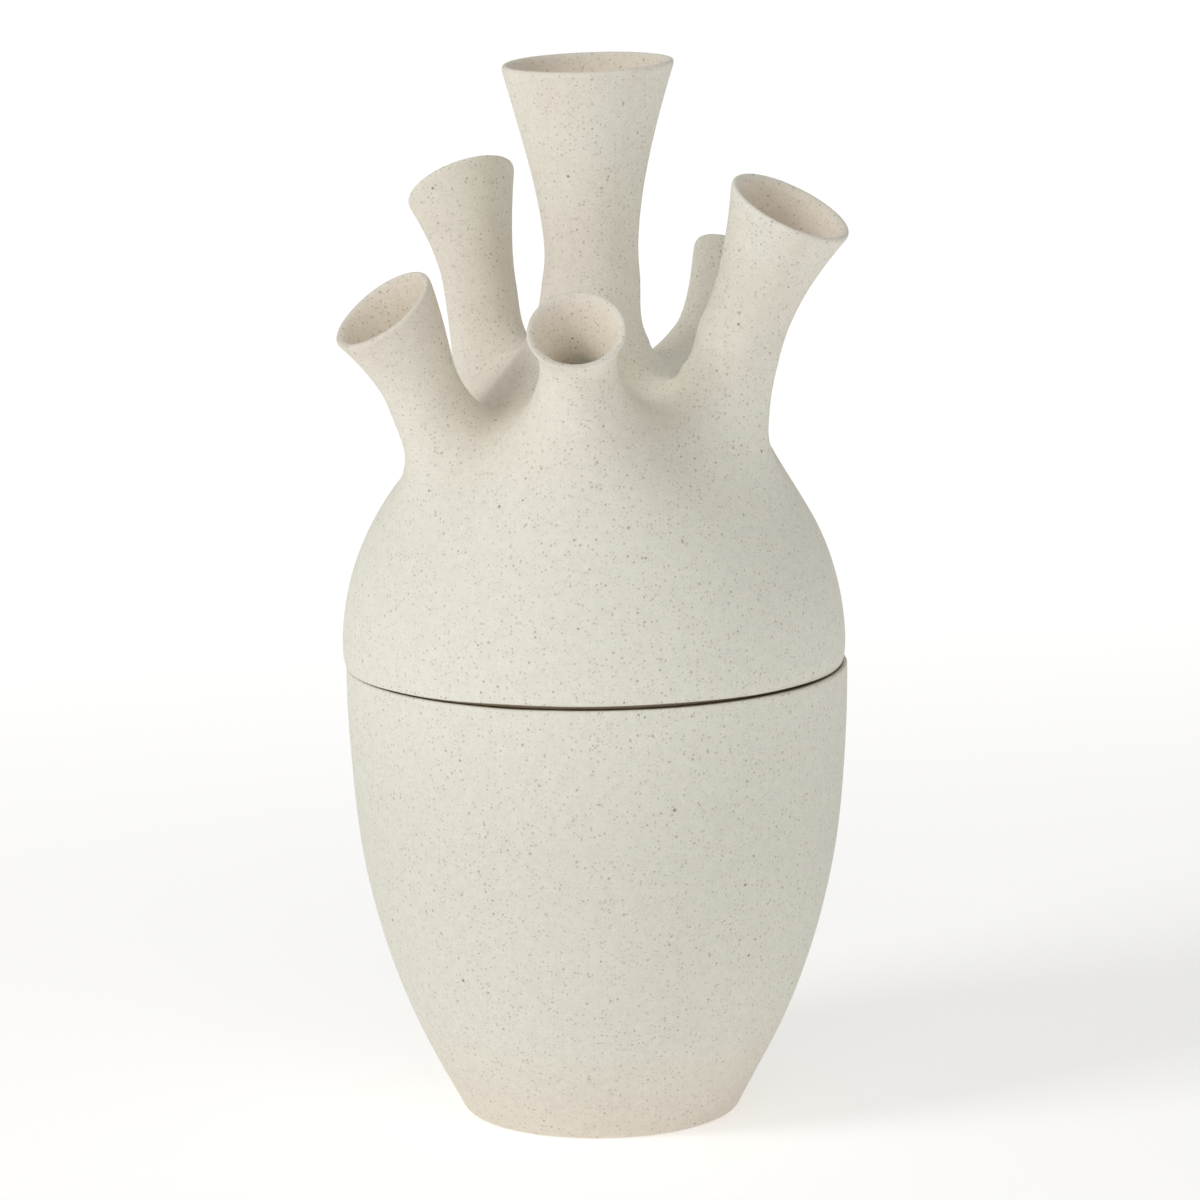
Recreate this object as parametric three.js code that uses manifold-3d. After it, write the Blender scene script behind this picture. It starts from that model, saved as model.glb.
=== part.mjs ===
// A tulip vase in speckled stoneware, in two pieces: a water pot, and a domed lid that lifts
// off it and carries six flared flower spouts. One spout stands upright in the middle, and two
// tall and three short ones lean out round it.
// Millimetres, +Z up, origin at the centre of the foot, on the surface the vase stands on.

import * as THREE from 'three';
import Module from 'manifold-3d';
import { mergeVertices } from 'three/addons/utils/BufferGeometryUtils.js';
import { ParametricGeometry } from 'three/addons/geometries/ParametricGeometry.js';

const wasm = await Module();
wasm.setup();

const degrees = THREE.MathUtils.degToRad;

// Water pot
const potHeight = 146.5;
const potRadius = 80.4;
const potWall = 4.5;
const potFloor = 7;
const potFloorRounding = 12;
const potRimRounding = 1.1;
const footRadius = 44;
const footRounding = 2.6;
const footRingWidth = 9;
const footRecess = 1.6;
const footFlare = degrees(26);
const footSweep = 31;
const bellySweep = 90;

// Lid shell, from the seat on the pot's rim to the crown of the dome, whose profile is a quarter
// of an ellipse
const lidInset = 0.8;
const lidSeatRadius = potRadius - lidInset;
const lidEdgeRounding = 1.4;
const shoulderSwell = 1;
const shoulderRadius = lidSeatRadius + shoulderSwell;
const shoulderHeight = 6.3;
const domeRise = 84;
const lidWall = 4.5;

// Locating ring that hangs inside the pot's mouth
const ringClearance = 1.5;
const ringDepth = 12;
const ringWall = 4;
const ringRounding = 1;

// Spouts. An inset is measured in from the shoulder to the spout's centre line, a height up from
// the seat, and a lean away from upright. The centre line runs from the root on the dome to the
// middle of the mouth.
const spoutWall = 3.7;
const lipThickness = 1.8;
const rootSink = 1;

const centreSpout = {
  azimuth: 0,
  rootInset: shoulderRadius,
  rootLean: 0,
  mouthInset: shoulderRadius,
  mouthHeight: 193.5,
  mouthLean: 0,
  rimLean: 0,
  rimRadius: 27.5,
  neckRadius: 15.1,
  flareLength: 64,
  lipAngle: 19,
  rootSweep: 30,
  mouthSweep: 30,
  filletRise: 36,
  filletSpread: 24,
  outerFillet: 1,
};
const tallSpout = {
  rootInset: 32.3,
  rootLean: 2,
  mouthInset: 8.1,
  mouthHeight: 151,
  mouthLean: 24,
  rimLean: 28,
  rimRadius: 19.8,
  neckRadius: 12.3,
  flareLength: 31,
  lipAngle: 18,
  rootSweep: 26,
  mouthSweep: 50,
  filletRise: 31,
  filletSpread: 24,
  outerFillet: 0.4,
};
const shortSpout = {
  rootInset: 28.6,
  rootLean: 14,
  mouthInset: 7.3,
  mouthHeight: 120,
  mouthLean: 35,
  rimLean: 39,
  rimRadius: 17.5,
  neckRadius: 11.9,
  flareLength: 26,
  lipAngle: 15,
  rootSweep: 12,
  mouthSweep: 14,
  filletRise: 28,
  filletSpread: 24,
  outerFillet: 0.4,
};
const spouts = [
  centreSpout,
  { ...tallSpout, azimuth: -29 },
  { ...shortSpout, azimuth: 48, mouthHeight: 121 },
  { ...tallSpout, azimuth: 129, rootInset: 30.6, mouthInset: 13.1, rimRadius: 18.6 },
  { ...shortSpout, azimuth: -152 },
  { ...shortSpout, azimuth: -93, mouthInset: 10.6, mouthHeight: 117.3, rimLean: 41, rimRadius: 16 },
];

// Fineness of the faceted surfaces
const bodySegments = 60;
const spoutSegments = 24;
const boreSegments = 20;
const wallSteps = 10;
const domeSteps = 9;
const bendSteps = 2;
const filletSteps = 4;
const flareSteps = 4;

const stoneware = { color: 0xe2dccf, roughness: 0.9, metalness: 0 };

// Solids and meshes

function toSolid(geometry) {
  geometry.deleteAttribute('normal');
  geometry.deleteAttribute('uv');
  const merged = mergeVertices(geometry);
  const corners = merged.index.array;
  const triangles = [];
  for (let i = 0; i < corners.length; i += 3) {
    const [a, b, c] = [corners[i], corners[i + 1], corners[i + 2]];
    if (a !== b && b !== c && c !== a) triangles.push(a, b, c);
  }
  const mesh = new wasm.Mesh({
    numProp: 3,
    vertProperties: merged.attributes.position.array,
    triVerts: new Uint32Array(triangles),
  });
  return new wasm.Manifold(mesh);
}

function toGeometry(solid) {
  const mesh = solid.getMesh();
  const geometry = new THREE.BufferGeometry();
  geometry.setAttribute('position', new THREE.BufferAttribute(mesh.vertProperties, 3));
  geometry.setIndex(new THREE.BufferAttribute(mesh.triVerts, 1));
  geometry.computeVertexNormals();
  return geometry;
}

// A profile holds (radius, height) points and is turned round the vase's axis.
function turned(profile) {
  return toSolid(new THREE.LatheGeometry(profile, bodySegments).rotateX(Math.PI / 2));
}

function point(radius, height) {
  return new THREE.Vector2(radius, height);
}

// Points of a corner rounded between the directions of its two neighbours.
function roundedCorner(before, corner, after, size, steps = bendSteps) {
  const start = corner.clone().add(before.clone().sub(corner).setLength(size));
  const end = corner.clone().add(after.clone().sub(corner).setLength(size));
  return new THREE.QuadraticBezierCurve(start, corner, end).getPoints(steps);
}

// Points of a curve moved sideways by a wall, to the side of the vase's axis.
function offsetPoints(curve, wall, steps) {
  const points = [];
  for (let i = 0; i <= steps; i += 1) {
    const along = curve.getTangent(i / steps);
    const inward = point(-along.y, along.x);
    points.push(curve.getPoint(i / steps).addScaledVector(inward, wall));
  }
  return points;
}

// Water pot: one turned profile, from the underside up the outer wall and down the inner one

const potWallCurve = new THREE.CubicBezierCurve(
  point(footRadius, 0),
  point(footRadius + footSweep * Math.sin(footFlare), footSweep * Math.cos(footFlare)),
  point(potRadius, potHeight - bellySweep),
  point(potRadius, potHeight),
);
const potMouthRadius = potRadius - potWall;

function buildWaterPot() {
  const footEdge = point(footRadius, 0);
  const ringInside = footRadius - footRingWidth;
  const lowWall = potWallCurve.getPoint(0.1);
  const outerWall = potWallCurve.getPoints(wallSteps).slice(1, -1);
  const outerRim = point(potRadius, potHeight);
  const innerRim = point(potMouthRadius, potHeight);
  const innerWall = offsetPoints(potWallCurve, potWall, wallSteps).slice(1, -1).reverse();
  const drop = innerWall.filter((p) => p.y > potFloor + potFloorRounding);
  const lowest = drop[drop.length - 1];
  const slope = drop[drop.length - 2].clone().sub(lowest);
  const floorCorner = point(lowest.x - (slope.x / slope.y) * (lowest.y - potFloor), potFloor);
  const floorMiddle = point(0, potFloor);
  const profile = [
    point(0, footRecess),
    point(ringInside - footRecess, footRecess),
    point(ringInside, 0),
    ...roundedCorner(floorMiddle.clone().setY(0), footEdge, lowWall, footRounding),
    ...outerWall,
    ...roundedCorner(outerWall.at(-1), outerRim, innerRim, potRimRounding),
    ...roundedCorner(outerRim, innerRim, drop[0], potRimRounding),
    ...drop,
    ...roundedCorner(lowest, floorCorner, floorMiddle, potFloorRounding),
    floorMiddle,
  ];
  return turned(profile);
}

// Lid shell: the dome with its seat and its locating ring, and the hollow inside them

const outerDome = { radius: shoulderRadius, rise: domeRise };
const innerDome = { radius: shoulderRadius - lidWall, rise: domeRise - lidWall };

function domePoints(dome) {
  const quarter = Math.PI / 2;
  const curve = new THREE.EllipseCurve(0, shoulderHeight, dome.radius, dome.rise, 0, quarter);
  const points = curve.getPoints(domeSteps).slice(0, -1);
  return [...points, point(0, shoulderHeight + dome.rise)];
}

function heightOver(radius, dome) {
  const share = Math.min(radius / dome.radius, 1);
  return shoulderHeight + dome.rise * Math.sqrt(1 - share * share);
}

const ringOuter = potMouthRadius - ringClearance;
const ringInner = ringOuter - ringWall;

function buildLidForm() {
  const seatInner = point(ringOuter, 0);
  const seatOuter = point(lidSeatRadius, 0);
  const ringFoot = point(ringOuter, -ringDepth);
  const bottom = point(0, -ringDepth);
  const dome = domePoints(outerDome);
  return turned([
    bottom,
    ...roundedCorner(bottom, ringFoot, seatInner, ringRounding),
    seatInner,
    ...roundedCorner(seatInner, seatOuter, dome[0], lidEdgeRounding),
    ...dome,
  ]);
}

function buildLidHollow() {
  const dome = domePoints(innerDome);
  const above = dome.filter((p) => p.y > 2 * shoulderHeight);
  return turned([
    point(0, -ringDepth - ringRounding),
    point(ringInner + ringRounding, -ringDepth - ringRounding),
    point(ringInner, -ringDepth + ringRounding),
    point(ringInner, 0),
    ...above,
  ]);
}

// Spouts: a flared profile swept round a bent centre line in an upright plane

class CentreLine {
  constructor(spout) {
    const rootReach = shoulderRadius - spout.rootInset;
    const root = point(rootReach, heightOver(rootReach, outerDome));
    const mouth = point(shoulderRadius - spout.mouthInset, spout.mouthHeight);
    const rootWay = CentreLine.leaning(spout.rootLean);
    const mouthWay = CentreLine.leaning(spout.mouthLean);
    this.spout = spout;
    this.curve = new THREE.CubicBezierCurve(
      root,
      root.clone().addScaledVector(rootWay, spout.rootSweep),
      mouth.clone().addScaledVector(mouthWay, -spout.mouthSweep),
      mouth,
    );
    this.length = this.curve.getLength();
    const azimuth = degrees(spout.azimuth);
    this.outward = new THREE.Vector3(Math.cos(azimuth), Math.sin(azimuth), 0);
    this.sideways = new THREE.Vector3(-this.outward.y, this.outward.x, 0);
  }

  static leaning(lean) {
    return point(Math.sin(degrees(lean)), Math.cos(degrees(lean)));
  }

  // The place at a distance along the line, a radius out from it and a turn round it, where no
  // turn faces away from the vase's axis. Past either end the line runs on straight.
  place(along, radius, turn) {
    const inside = THREE.MathUtils.clamp(along, 0, this.length);
    const way = this.curve.getTangentAt(inside / this.length);
    const middle = this.curve.getPointAt(inside / this.length);
    middle.addScaledVector(way, along - inside);
    const flareStart = this.length - this.spout.flareLength;
    const mouthTurn = degrees(this.spout.rimLean - this.spout.mouthLean);
    const share = THREE.MathUtils.smoothstep(along, flareStart, this.length);
    const lean = Math.atan2(way.x, way.y) + share * mouthTurn;
    const across = radius * Math.cos(turn);
    return this.outward
      .clone()
      .multiplyScalar(middle.x + across * Math.cos(lean))
      .addScaledVector(this.sideways, radius * Math.sin(turn))
      .setZ(middle.y - across * Math.sin(lean));
  }

  // The distance along the line where a straight edge, at a radius and a turn, meets the dome.
  meets(dome, radius, turn) {
    let [low, high] = [-2 * radius - lidWall, this.length];
    for (let i = 0; i < 30; i += 1) {
      const half = (low + high) / 2;
      const place = this.place(half, radius, turn);
      const covered = place.z < heightOver(Math.hypot(place.x, place.y), dome);
      [low, high] = covered ? [half, high] : [low, half];
    }
    return low;
  }
}

// Radius and distance along the line over the flare, from the neck to the lip.
function flarePoints(spout, length, neck, rim) {
  const start = length - spout.flareLength;
  const straight = Math.min((rim - neck) / Math.tan(degrees(spout.lipAngle)), spout.flareLength);
  const curve = new THREE.QuadraticBezierCurve(
    point(neck, start),
    point(neck, length - straight),
    point(rim, length),
  );
  return curve.getPoints(flareSteps);
}

// The root leaves the dome along its surface and curves up into the neck. It is filled widest on
// the side that faces the vase's axis.
function rootCurve(spout, line, dome, neck, turn) {
  const { filletRise, filletSpread, outerFillet } = spout;
  const facingOut = ((1 + Math.cos(turn)) / 2) ** 2;
  const share = THREE.MathUtils.lerp(1, outerFillet, facingOut);
  const crossing = line.meets(dome, neck, turn);
  const corner = line.place(crossing, neck, turn);
  const top = line.place(crossing + share * filletRise, neck, turn);
  const edge = line.place(crossing, neck + share * filletSpread, turn);
  edge.z = heightOver(Math.hypot(edge.x, edge.y), dome) - rootSink;
  return new THREE.QuadraticBezierCurve3(edge, corner, top);
}

// A closed form swept round the line: from a point under the dome, over the root and the given
// (radius, distance) rings, to the middle of the mouth.
function sweep(spout, line, dome, neck, rings, segments) {
  const last = filletSteps + rings.length + 2;
  const under = line.place(-2 * neck, 0, 0);
  const middle = line.place(rings.at(-1).y, 0, 0);
  const roots = new Map();

  function surface(station, turn) {
    if (station === 0) return under;
    if (station === last) return middle;
    const ring = rings[station - filletSteps - 2];
    if (ring) return line.place(ring.y, ring.x, turn);
    if (!roots.has(turn)) roots.set(turn, rootCurve(spout, line, dome, neck, turn));
    return roots.get(turn).getPoint((station - 1) / filletSteps);
  }

  function shape(u, v, target) {
    target.copy(surface(Math.round(v * last), 2 * Math.PI * (u % 1)));
  }
  return toSolid(new ParametricGeometry(shape, segments, last));
}

function buildSpout(spout) {
  const line = new CentreLine(spout);
  const flare = flarePoints(spout, line.length, spout.neckRadius, spout.rimRadius);
  const edge = flare.pop();
  const lip = roundedCorner(flare.at(-1), edge, point(0, line.length), lipThickness / 2);
  const rings = [...flare, ...lip];
  return sweep(spout, line, outerDome, spout.neckRadius, rings, spoutSegments);
}

// The bore keeps the wall's thickness up the neck, thins it to the lip, and opens into the dome.
function buildBore(spout) {
  const line = new CentreLine(spout);
  const neck = spout.neckRadius - spoutWall;
  const mouth = spout.rimRadius - lipThickness;
  const overLip = point(mouth + lipThickness / 2, line.length + lipThickness / 2);
  const rings = [...flarePoints(spout, line.length, neck, mouth), overLip];
  return sweep(spout, line, innerDome, neck, rings, boreSegments);
}

function buildSpoutedLid() {
  let lid = buildLidForm();
  for (const spout of spouts) lid = lid.add(buildSpout(spout));
  lid = lid.subtract(buildLidHollow());
  for (const spout of spouts) lid = lid.subtract(buildBore(spout));
  return lid;
}

// The vase

function piece(name, solid) {
  const mesh = new THREE.Mesh(toGeometry(solid), new THREE.MeshStandardMaterial(stoneware));
  mesh.name = name;
  return mesh;
}

const vase = new THREE.Group();

const waterPot = piece('water_pot', buildWaterPot());
vase.add(waterPot);

const spoutedLid = piece('spouted_lid', buildSpoutedLid());
spoutedLid.position.z = potHeight;
vase.add(spoutedLid);

export default vase;
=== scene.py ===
# %% [markdown]
# # A tulip vase in speckled stoneware
# The real vase is two pieces that a potter makes apart. A plain pot holds the water. A domed lid
# lifts off it, and carries six flared spouts, one flower to each. Nothing is glued on: the clay of
# the spouts runs on into the clay of the dome, so the lid is one skin, a little thinner at the
# lips. Lengths here are millimetres, as a potter would give them, and a mesh is scaled to metres
# when it is made. Heights count up from the foot, and in the lid's own formulas from its seat.

# %% Load the measured model
from dataclasses import dataclass, replace
from math import cos, pi, radians, sin, sqrt, tan

import bmesh
import bpy
import numpy as np
from mathutils import Matrix, Vector, noise


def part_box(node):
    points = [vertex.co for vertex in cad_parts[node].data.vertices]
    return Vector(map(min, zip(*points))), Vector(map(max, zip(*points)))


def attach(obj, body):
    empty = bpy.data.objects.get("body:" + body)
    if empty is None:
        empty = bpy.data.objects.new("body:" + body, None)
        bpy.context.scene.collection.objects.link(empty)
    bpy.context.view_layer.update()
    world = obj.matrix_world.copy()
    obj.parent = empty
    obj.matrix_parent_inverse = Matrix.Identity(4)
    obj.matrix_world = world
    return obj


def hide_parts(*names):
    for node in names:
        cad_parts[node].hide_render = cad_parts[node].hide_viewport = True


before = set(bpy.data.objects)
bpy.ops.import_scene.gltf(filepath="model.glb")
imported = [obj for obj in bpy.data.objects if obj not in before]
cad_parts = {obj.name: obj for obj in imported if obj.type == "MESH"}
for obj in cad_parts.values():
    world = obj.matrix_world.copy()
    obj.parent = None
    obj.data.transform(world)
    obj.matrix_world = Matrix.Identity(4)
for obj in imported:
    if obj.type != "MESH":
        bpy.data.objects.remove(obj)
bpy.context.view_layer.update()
print("The measured model holds", sorted(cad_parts))

MM = 0.001
SEAT_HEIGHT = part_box("water_pot")[1].z / MM
VASE_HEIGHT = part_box("spouted_lid")[1].z / MM
print(f"The lid sits {SEAT_HEIGHT:.1f} up, and the vase is {VASE_HEIGHT:.1f} high")

# %% [markdown]
# ## From numbers to a mesh
# Both pieces come out of formulas as a list of places and a list of faces. One helper turns such a
# pair into a Blender object, smooth shaded, so that each piece is made the same way.

# %% A helper that makes a mesh
def make_piece(name, places, faces):
    mesh = bpy.data.meshes.new(name)
    mesh.from_pydata((places * MM).tolist(), [], faces)
    mesh.validate()
    mesh.shade_smooth()
    piece = bpy.data.objects.new(name, mesh)
    bpy.context.scene.collection.objects.link(piece)
    print(name, "has", len(mesh.vertices), "points and", len(mesh.polygons), "faces")
    return piece


# %% [markdown]
# ## The outline of the water pot
# The pot is thrown on a wheel, so one outline turned round the axis gives all of it. The outer wall
# rises from a narrow foot into a full belly and comes up straight at the mouth, which a Bezier
# curve with four points describes. The inner wall is the same curve moved in by the wall's
# thickness. Every corner is rounded, because a dragged sponge leaves no edge sharp.

# %% Sizes of the water pot
POT_RADIUS = 80.4
POT_WALL = 4.5
POT_FLOOR = 7.0
FLOOR_ROUNDING = 12.0
RIM_ROUNDING = 0.8
FOOT_RADIUS = 44.0
FOOT_ROUNDING = 2.6
FOOT_RING_WIDTH = 9.0
FOOT_RECESS = 1.6
RECESS_ROUNDING = 1.0
FOOT_FLARE = radians(26)
FOOT_SWEEP = 31.0
BELLY_SWEEP = 90.0
MOUTH_RADIUS = POT_RADIUS - POT_WALL

# %% Curves for an outline
TINY = 0.001


def bezier(points, steps):
    share = np.linspace(0, 1, steps + 1)[:, None]
    rest = 1 - share
    a, b, c, d = np.array(points, float)
    return a * rest**3 + 3 * b * rest**2 * share + 3 * c * rest * share**2 + d * share**3


def beside(curve, distance):
    way = np.gradient(curve, axis=0)
    way /= np.linalg.norm(way, axis=1)[:, None]
    return curve + distance * np.stack([-way[:, 1], way[:, 0]], 1)


def rounded(before, corner, after, size, steps):
    before, corner, after = (np.array(p, float) for p in (before, corner, after))
    start = corner + (before - corner) * size / np.linalg.norm(before - corner)
    end = corner + (after - corner) * size / np.linalg.norm(after - corner)
    share = np.linspace(0, 1, steps + 1)[:, None]
    return start * (1 - share) ** 2 + 2 * corner * share * (1 - share) + end * share**2


# %% The outline of the pot, from under its foot up the outside and down the inside
WALL_STEPS = 88
FLOOR_STEPS = 12
UNDERSIDE_STEPS = 9
WIDE_ROUND_STEPS = 10
RIM_ROUND_STEPS = 6
RECESS_ROUND_STEPS = 3


def pot_outline():
    outer = bezier(
        [
            (FOOT_RADIUS, 0),
            (FOOT_RADIUS + FOOT_SWEEP * sin(FOOT_FLARE), FOOT_SWEEP * cos(FOOT_FLARE)),
            (POT_RADIUS, SEAT_HEIGHT - BELLY_SWEEP),
            (POT_RADIUS, SEAT_HEIGHT),
        ],
        WALL_STEPS,
    )
    inner = beside(outer, POT_WALL)[::-1]
    inner = inner[inner[:, 1] > POT_FLOOR + FLOOR_ROUNDING]
    wall_above, wall_end = inner[-2], inner[-1]
    slope = (wall_above - wall_end)[0] / (wall_above - wall_end)[1]
    floor_corner = (wall_end[0] - slope * (wall_end[1] - POT_FLOOR), POT_FLOOR)
    foot_edge = (FOOT_RADIUS, 0)
    above_foot = outer[4]
    ring_inside = (FOOT_RADIUS - FOOT_RING_WIDTH, 0)
    recess_edge = (ring_inside[0] - FOOT_RECESS, FOOT_RECESS)
    outer_rim = (POT_RADIUS, SEAT_HEIGHT)
    inner_rim = (MOUTH_RADIUS, SEAT_HEIGHT)
    body = outer[(outer[:, 1] > FOOT_ROUNDING) & (outer[:, 1] < SEAT_HEIGHT - RIM_ROUNDING)]
    drop = inner[inner[:, 1] < SEAT_HEIGHT - RIM_ROUNDING]
    recess = np.linspace(0, recess_edge[0] - 2 * RECESS_ROUNDING, UNDERSIDE_STEPS)
    underside = [(radius, FOOT_RECESS) for radius in recess]
    flat = np.linspace(floor_corner[0] - FLOOR_ROUNDING, 0, FLOOR_STEPS)
    floor = [(radius, POT_FLOOR) for radius in flat[1:]]
    return np.vstack([
        underside,
        rounded(underside[-1], recess_edge, ring_inside, RECESS_ROUNDING, RECESS_ROUND_STEPS),
        rounded(recess_edge, ring_inside, foot_edge, RECESS_ROUNDING, RECESS_ROUND_STEPS),
        rounded(ring_inside, foot_edge, above_foot, FOOT_ROUNDING, WIDE_ROUND_STEPS),
        body,
        rounded(body[-1], outer_rim, inner_rim, RIM_ROUNDING, RIM_ROUND_STEPS),
        rounded(outer_rim, inner_rim, drop[0], RIM_ROUNDING, RIM_ROUND_STEPS),
        drop[:-1],
        rounded(drop[-1], floor_corner, (0, POT_FLOOR), FLOOR_ROUNDING, WIDE_ROUND_STEPS),
        floor,
    ])


# %% [markdown]
# ## The marks of a hand
# A thrown wall is never quite true: it swells and dips by a few tenths of a millimetre over the
# width of a finger. A small push in or out along the surface, taken from Blender's own noise, gives
# that. The same noise serves both pieces, and it is the same on every run.

# %% A helper that unsettles a surface a little
HAND_SPAN = 34.0
HAND_DEPTH = 0.3


def hand_marks(places, outward):
    push = np.array([noise.noise(Vector(place) / HAND_SPAN) for place in places.tolist()])
    return places + outward * push[:, None] * HAND_DEPTH


# %% Turn the outline into the pot
POT_SEGMENTS = 240


def turn(outline, segments):
    rings = len(outline)
    angles = np.arange(segments) * 2 * pi / segments
    middle = outline[1:-1]
    places = np.stack([
        np.outer(middle[:, 0], np.cos(angles)),
        np.outer(middle[:, 0], np.sin(angles)),
        np.outer(middle[:, 1], np.ones(segments)),
    ], 2).reshape(-1, 3)
    ends = [[0, 0, outline[0, 1]], [0, 0, outline[-1, 1]]]
    ring = np.arange(segments)
    beyond = (ring + 1) % segments
    faces = []
    for row in range(rings - 3):
        low, high = row * segments, (row + 1) * segments
        faces += np.stack([low + ring, low + beyond, high + beyond, high + ring], 1).tolist()
    first, last = len(places), len(places) + 1
    top = (rings - 3) * segments
    faces += np.stack([np.full(segments, first), beyond, ring], 1).tolist()
    faces += np.stack([np.full(segments, last), top + ring, top + beyond], 1).tolist()
    return np.vstack([places, ends]), faces


def outward_of_turned(outline, segments):
    way = np.gradient(outline, axis=0)
    way /= np.maximum(np.linalg.norm(way, axis=1), TINY)[:, None]
    angles = np.arange(segments) * 2 * pi / segments
    side = np.stack([
        np.outer(way[1:-1, 1], np.cos(angles)),
        np.outer(way[1:-1, 1], np.sin(angles)),
        np.outer(-way[1:-1, 0], np.ones(segments)),
    ], 2).reshape(-1, 3)
    return np.vstack([side, [[0, 0, -1], [0, 0, 1]]])


outline = pot_outline()
places, faces = turn(outline, POT_SEGMENTS)
places = hand_marks(places, outward_of_turned(outline, POT_SEGMENTS))
places[:, 2] = np.clip(places[:, 2], 0, SEAT_HEIGHT)
pot = make_piece("thrown_water_pot", places, faces)

# %% [markdown]
# ## Describing clay that melts together
# The lid is the hard piece. Each spout flows into the dome in a wide hollow curve, and the spouts
# flow into each other, which a potter does by luting the parts with slip and smoothing with a
# finger. Joining meshes leaves a crease there, and bevels break down. So the lid isn't drawn, it is
# described: a function gives, for any point in space, how far it is from the clay's surface. Two
# forms are joined by taking the smaller of their distances, and a smooth kind of smaller makes the
# fillet.

# %% Soft joins of two distances
def soft_least(one, other, melt):
    nearness = np.maximum(melt - np.abs(one - other), 0) / melt
    return np.minimum(one, other) - nearness**2 * melt / 4


def soft_most(one, other, melt):
    return -soft_least(-one, -other, melt)


def heap(one, other, crease):
    """The larger of two heaps of added clay, softened where they meet, and none where both are."""
    return soft_most(one, other, np.minimum(crease, one + other) + TINY)


# %% [markdown]
# ## The dome
# The dome is half an ellipse, turned. Under the shoulder its side draws in a little to the edge
# that rests on the pot, as it does on the real one.

# %% Distance to the dome
SEAT_INSET = 0.8
SHOULDER_SWELL = 1.0
SHOULDER_RADIUS = POT_RADIUS - SEAT_INSET + SHOULDER_SWELL
SHOULDER_HEIGHT = 6.3
DOME_RISE = 82.6
LID_WALL = 4.5


def dome_distance(x, y, z):
    out = np.hypot(x, y) + TINY
    up = np.maximum(z - SHOULDER_HEIGHT, 0)
    size = np.hypot(out / SHOULDER_RADIUS, up / DOME_RISE)
    slope = np.hypot(out / SHOULDER_RADIUS**2, up / DOME_RISE**2)
    below = np.clip((SHOULDER_HEIGHT - z) / SHOULDER_HEIGHT, 0, 1)
    return size * (size - 1) / slope + SHOULDER_SWELL * below**2


dome_height = SHOULDER_HEIGHT + DOME_RISE
print(f"The dome is {2 * SHOULDER_RADIUS:.1f} wide and {dome_height:.1f} high")

# %% [markdown]
# ## One spout
# A spout is a tube round a bent line that stands in an upright plane through the vase's axis. It
# keeps its width up the neck and then flares to the mouth, as half of a parabola. To find how far a
# point is from it, the point is walked along the line until the line runs square to it.
# A spout's reach counts out from the axis, its height up from the seat, and its angles are in
# degrees, the leans from upright. The rim can lean otherwise than the line does, and a twist tilts
# it sideways. Sweeps say how far the line keeps its way at each end. The melts are how wide the
# root's fillet is on the inner and on the outer side, and the crease is how softly it meets the
# next root.

# %% What describes a spout
@dataclass
class Spout:
    azimuth: float
    root_reach: float
    root_lean: float
    mouth_reach: float
    mouth_height: float
    mouth_lean: float
    rim_lean: float
    rim_radius: float
    neck_radius: float
    flare_length: float
    lip_angle: float
    root_sweep: float
    mouth_sweep: float
    melt: float
    outer_melt: float
    crease: float
    rim_twist: float = 0.0


CENTRE_RIM_DROP = 0.2
CENTRE_SPOUT = Spout(
    azimuth=-40,
    root_reach=1.5,
    root_lean=0,
    mouth_reach=0,
    mouth_height=VASE_HEIGHT - SEAT_HEIGHT - CENTRE_RIM_DROP,
    mouth_lean=0.7,
    rim_lean=-0.5,
    rim_radius=27.7,
    neck_radius=14.8,
    flare_length=62,
    lip_angle=17,
    root_sweep=30,
    mouth_sweep=30,
    melt=46,
    outer_melt=24,
    crease=20,
    rim_twist=-2,
)
TALL_SPOUT = Spout(
    azimuth=-29,
    root_reach=48.7,
    root_lean=2,
    mouth_reach=72.1,
    mouth_height=151,
    mouth_lean=24,
    rim_lean=28,
    rim_radius=20.5,
    neck_radius=12.8,
    flare_length=43,
    lip_angle=18,
    root_sweep=26,
    mouth_sweep=50,
    melt=27,
    outer_melt=12,
    crease=20,
)
SHORT_SPOUT = Spout(
    azimuth=-152,
    root_reach=52,
    root_lean=14,
    mouth_reach=73.3,
    mouth_height=120,
    mouth_lean=35,
    rim_lean=39,
    rim_radius=18,
    neck_radius=11.9,
    flare_length=26,
    lip_angle=15,
    root_sweep=12,
    mouth_sweep=14,
    melt=27,
    outer_melt=11,
    crease=20,
)
SPOUTS = [
    CENTRE_SPOUT,
    TALL_SPOUT,
    replace(
        SHORT_SPOUT,
        azimuth=48,
        root_reach=51,
        root_lean=23,
        mouth_reach=75.8,
        mouth_height=121.4,
        melt=53,
        outer_melt=6,
        crease=10,
    ),
    replace(
        TALL_SPOUT,
        azimuth=129,
        root_reach=50.3,
        root_lean=9,
        mouth_reach=66.5,
        mouth_height=149.1,
        mouth_lean=18,
        rim_lean=35,
        rim_twist=-4,
        rim_radius=18.5,
        neck_radius=11.7,
        flare_length=33,
        melt=34,
    ),
    replace(
        SHORT_SPOUT,
        azimuth=-93.6,
        mouth_reach=70,
        mouth_height=117.6,
        rim_lean=44,
        rim_radius=16.2,
        neck_radius=10.6,
        flare_length=19,
        lip_angle=28,
        melt=50,
        outer_melt=34,
        crease=40,
    ),
    replace(
        SHORT_SPOUT,
        root_reach=51.6,
        mouth_reach=73.9,
        rim_radius=18.2,
        neck_radius=12.1,
        flare_length=29,
        melt=25,
        outer_melt=14,
        crease=1.5,
    ),
]

# %% The line a spout follows
LINE_SAMPLES = 80
WALKS = 4


def root_height(reach):
    return SHOULDER_HEIGHT + DOME_RISE * sqrt(1 - (reach / SHOULDER_RADIUS) ** 2)


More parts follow.
